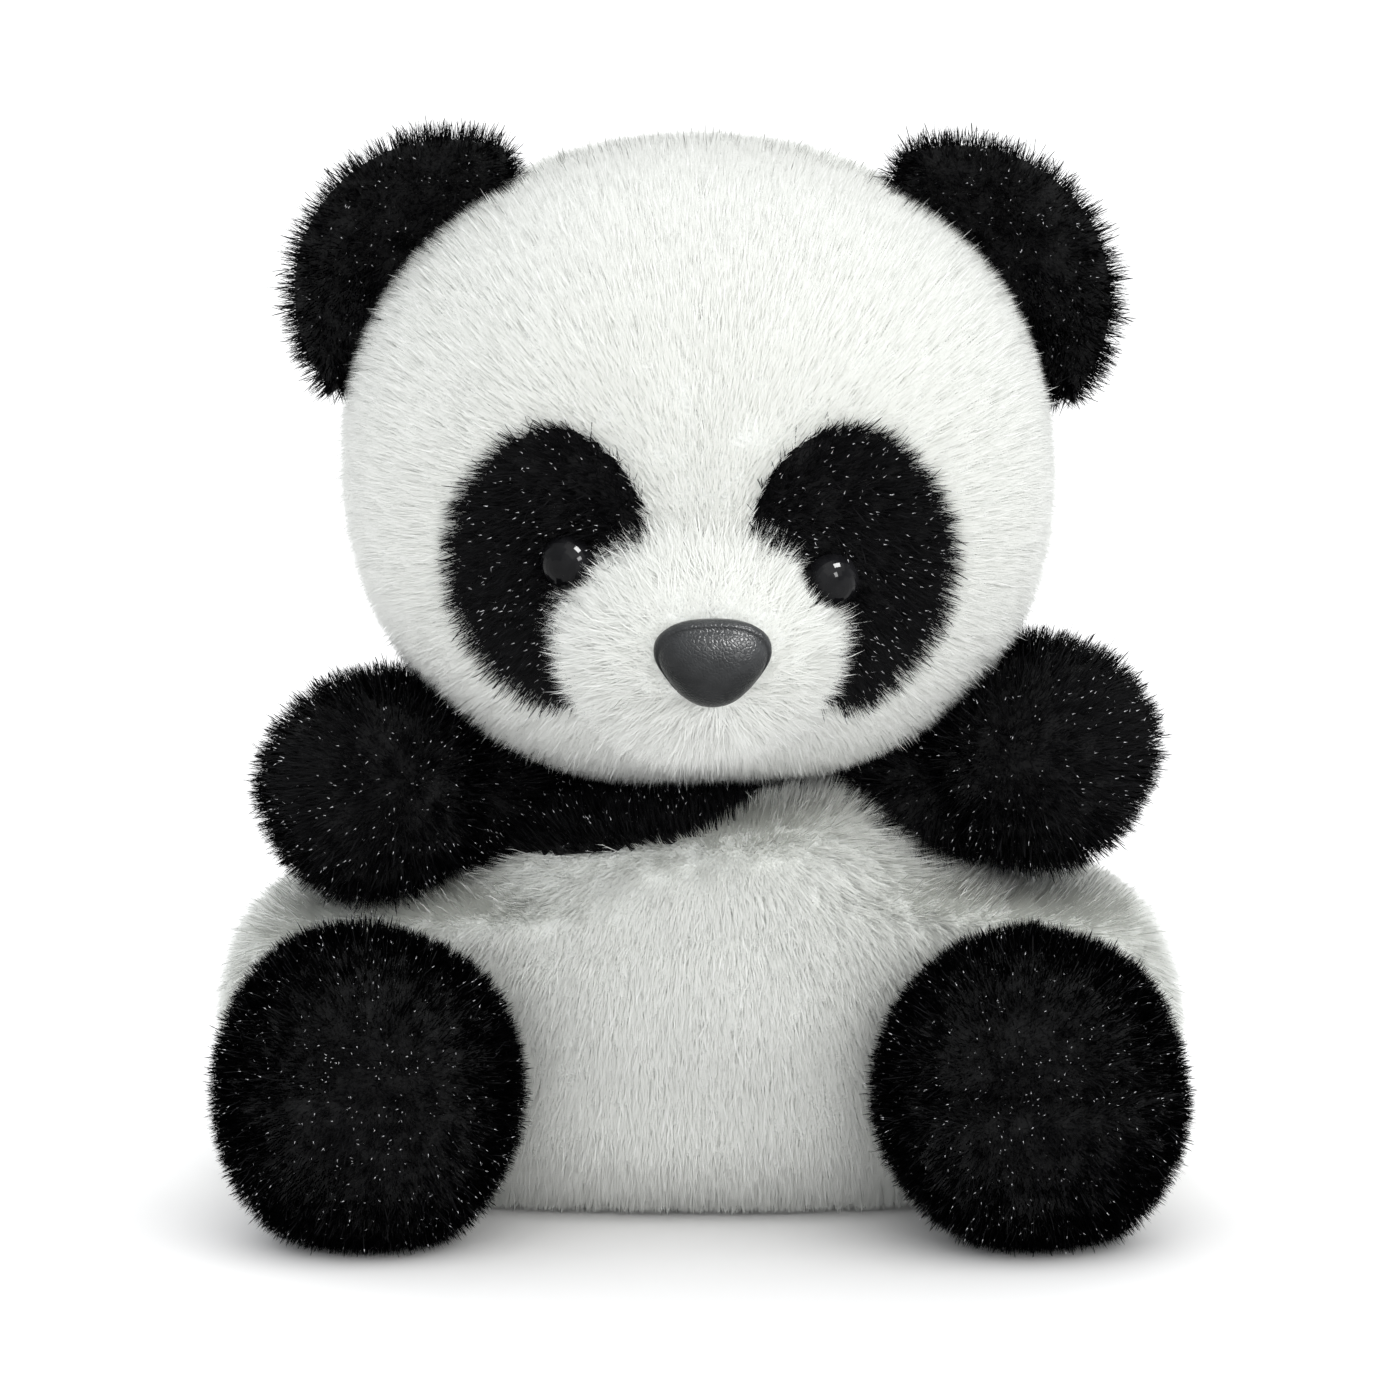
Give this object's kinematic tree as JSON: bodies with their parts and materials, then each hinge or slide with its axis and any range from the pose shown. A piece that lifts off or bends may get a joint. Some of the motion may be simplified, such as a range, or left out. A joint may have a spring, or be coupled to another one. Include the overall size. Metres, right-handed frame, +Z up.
{
  "type": "plush panda",
  "caption": "Palm-sized sitting plush panda with a bean-bag seat, stuffed head, arms and legs on sprung sewn seams.",
  "frame": {"origin": "on the surface that it sits on, below the middle of the body, at the mount seat_base", "axes": "+Z up, the panda faces -Y, its own left side is +X"},
  "size_m": [0.108, 0.0992, 0.123],
  "materials": {
    "white_plush": "short dense off-white pile",
    "black_plush": "short dense black pile with bright tips",
    "fibre_filling": "loose polyester fibre",
    "eye_plastic": "gloss",
    "nose_plastic": "satin with a fine leathery grain",
    "washer_plastic": "matte",
    "pellet_plastic": "matte",
    "pouch_cloth": "plain woven cloth",
    "label_satin": "woven satin ribbon, blank",
    "thread": "polyester sewing thread"
  },
  "bodies": {
    "torso": {"belly_panel": "white_plush", "hip_panel_left": "white_plush", "hip_panel_right": "white_plush", "back_panel_left": "white_plush", "back_panel_right": "white_plush", "shoulder_band_front": "black_plush", "shoulder_band_back": "black_plush", "base_panel": "white_plush", "torso_stuffing": "fibre_filling", "bean_pouch_top": "pouch_cloth", "bean_pouch_bottom": "pouch_cloth", "bean_pellets": "pellet_plastic", "closing_stitches": "thread", "sewn_label": "label_satin"},
    "neck": {"neck_stuffing": "fibre_filling"},
    "head": {"face_left": "white_plush", "face_right": "white_plush", "eye_patch_left": "black_plush", "eye_patch_right": "black_plush", "chin_gusset": "white_plush", "muzzle_left": "white_plush", "muzzle_right": "white_plush", "head_back_left": "white_plush", "head_back_right": "white_plush", "head_stuffing": "fibre_filling", "muzzle_stuffing": "fibre_filling", "nose": "nose_plastic", "nose_washer": "washer_plastic", "eye_left": "eye_plastic", "eye_right": "eye_plastic", "eye_washer_left": "washer_plastic", "eye_washer_right": "washer_plastic"},
    "ear_left": {"ear_left_front": "black_plush", "ear_left_back": "black_plush"},
    "ear_right": {"ear_right_front": "black_plush", "ear_right_back": "black_plush"},
    "shoulder_left": {"shoulder_stuffing_left": "fibre_filling"},
    "arm_left": {"arm_left_front": "black_plush", "arm_left_back": "black_plush", "arm_left_stuffing": "fibre_filling"},
    "shoulder_right": {"shoulder_stuffing_right": "fibre_filling"},
    "arm_right": {"arm_right_front": "black_plush", "arm_right_back": "black_plush", "arm_right_stuffing": "fibre_filling"},
    "leg_left": {"leg_left_upper": "black_plush", "leg_left_lower": "black_plush", "leg_left_stuffing": "fibre_filling"},
    "leg_right": {"leg_right_upper": "black_plush", "leg_right_lower": "black_plush", "leg_right_stuffing": "fibre_filling"},
    "tail": {"tail_skin": "white_plush", "tail_stuffing": "fibre_filling"}
  },
  "joints": [
    {"name": "neck_turn", "type": "hinge", "parent": "torso", "child": "neck", "pos_m": [0, 0, 0.048], "axis": [0, 0, 1], "range_deg": [-13, 13], "stiffness_Nm_per_rad": 0.12},
    {"name": "head_nod", "type": "hinge", "parent": "neck", "child": "head", "pos_m": [0, 0, 0.048], "axis": [1, 0, 0], "range_deg": [-10, 5], "stiffness_Nm_per_rad": 0.25},
    {"name": "ear_left_flop", "type": "hinge", "parent": "head", "child": "ear_left", "pos_m": [0.03201, -0.006, 0.10826], "axis": [-0.5878, 0, 0.809], "range_deg": [-25, 25], "stiffness_Nm_per_rad": 0.01},
    {"name": "ear_right_flop", "type": "hinge", "parent": "head", "child": "ear_right", "pos_m": [-0.03201, -0.006, 0.10826], "axis": [0.5878, 0, 0.809], "range_deg": [-25, 25], "stiffness_Nm_per_rad": 0.01},
    {"name": "arm_left_swing", "type": "hinge", "parent": "torso", "child": "shoulder_left", "pos_m": [0.027, -0.0056, 0.048], "axis": [0, 0, 1], "range_deg": [-12, 15], "stiffness_Nm_per_rad": 0.03},
    {"name": "arm_left_lift", "type": "hinge", "parent": "shoulder_left", "child": "arm_left", "pos_m": [0.027, -0.0056, 0.048], "axis": [0, 1, 0], "range_deg": [-2, 14], "stiffness_Nm_per_rad": 0.04},
    {"name": "arm_right_swing", "type": "hinge", "parent": "torso", "child": "shoulder_right", "pos_m": [-0.027, -0.0056, 0.048], "axis": [0, 0, 1], "range_deg": [-20, 22], "stiffness_Nm_per_rad": 0.03},
    {"name": "arm_right_lift", "type": "hinge", "parent": "shoulder_right", "child": "arm_right", "pos_m": [-0.027, -0.0056, 0.048], "axis": [0, 1, 0], "range_deg": [0, 8], "stiffness_Nm_per_rad": 0.04},
    {"name": "leg_left_lift", "type": "hinge", "parent": "torso", "child": "leg_left", "pos_m": [0.0356, -0.026, 0.017], "axis": [-1, 0, 0], "range_deg": [0, 14], "stiffness_Nm_per_rad": 0.08},
    {"name": "leg_right_lift", "type": "hinge", "parent": "torso", "child": "leg_right", "pos_m": [-0.0356, -0.026, 0.017], "axis": [-1, 0, 0], "range_deg": [0, 14], "stiffness_Nm_per_rad": 0.08},
    {"name": "tail_wag", "type": "hinge", "parent": "torso", "child": "tail", "pos_m": [0, 0.0375, 0.013], "axis": [0, 0, 1], "range_deg": [-20, 20], "stiffness_Nm_per_rad": 0.005}
  ]
}
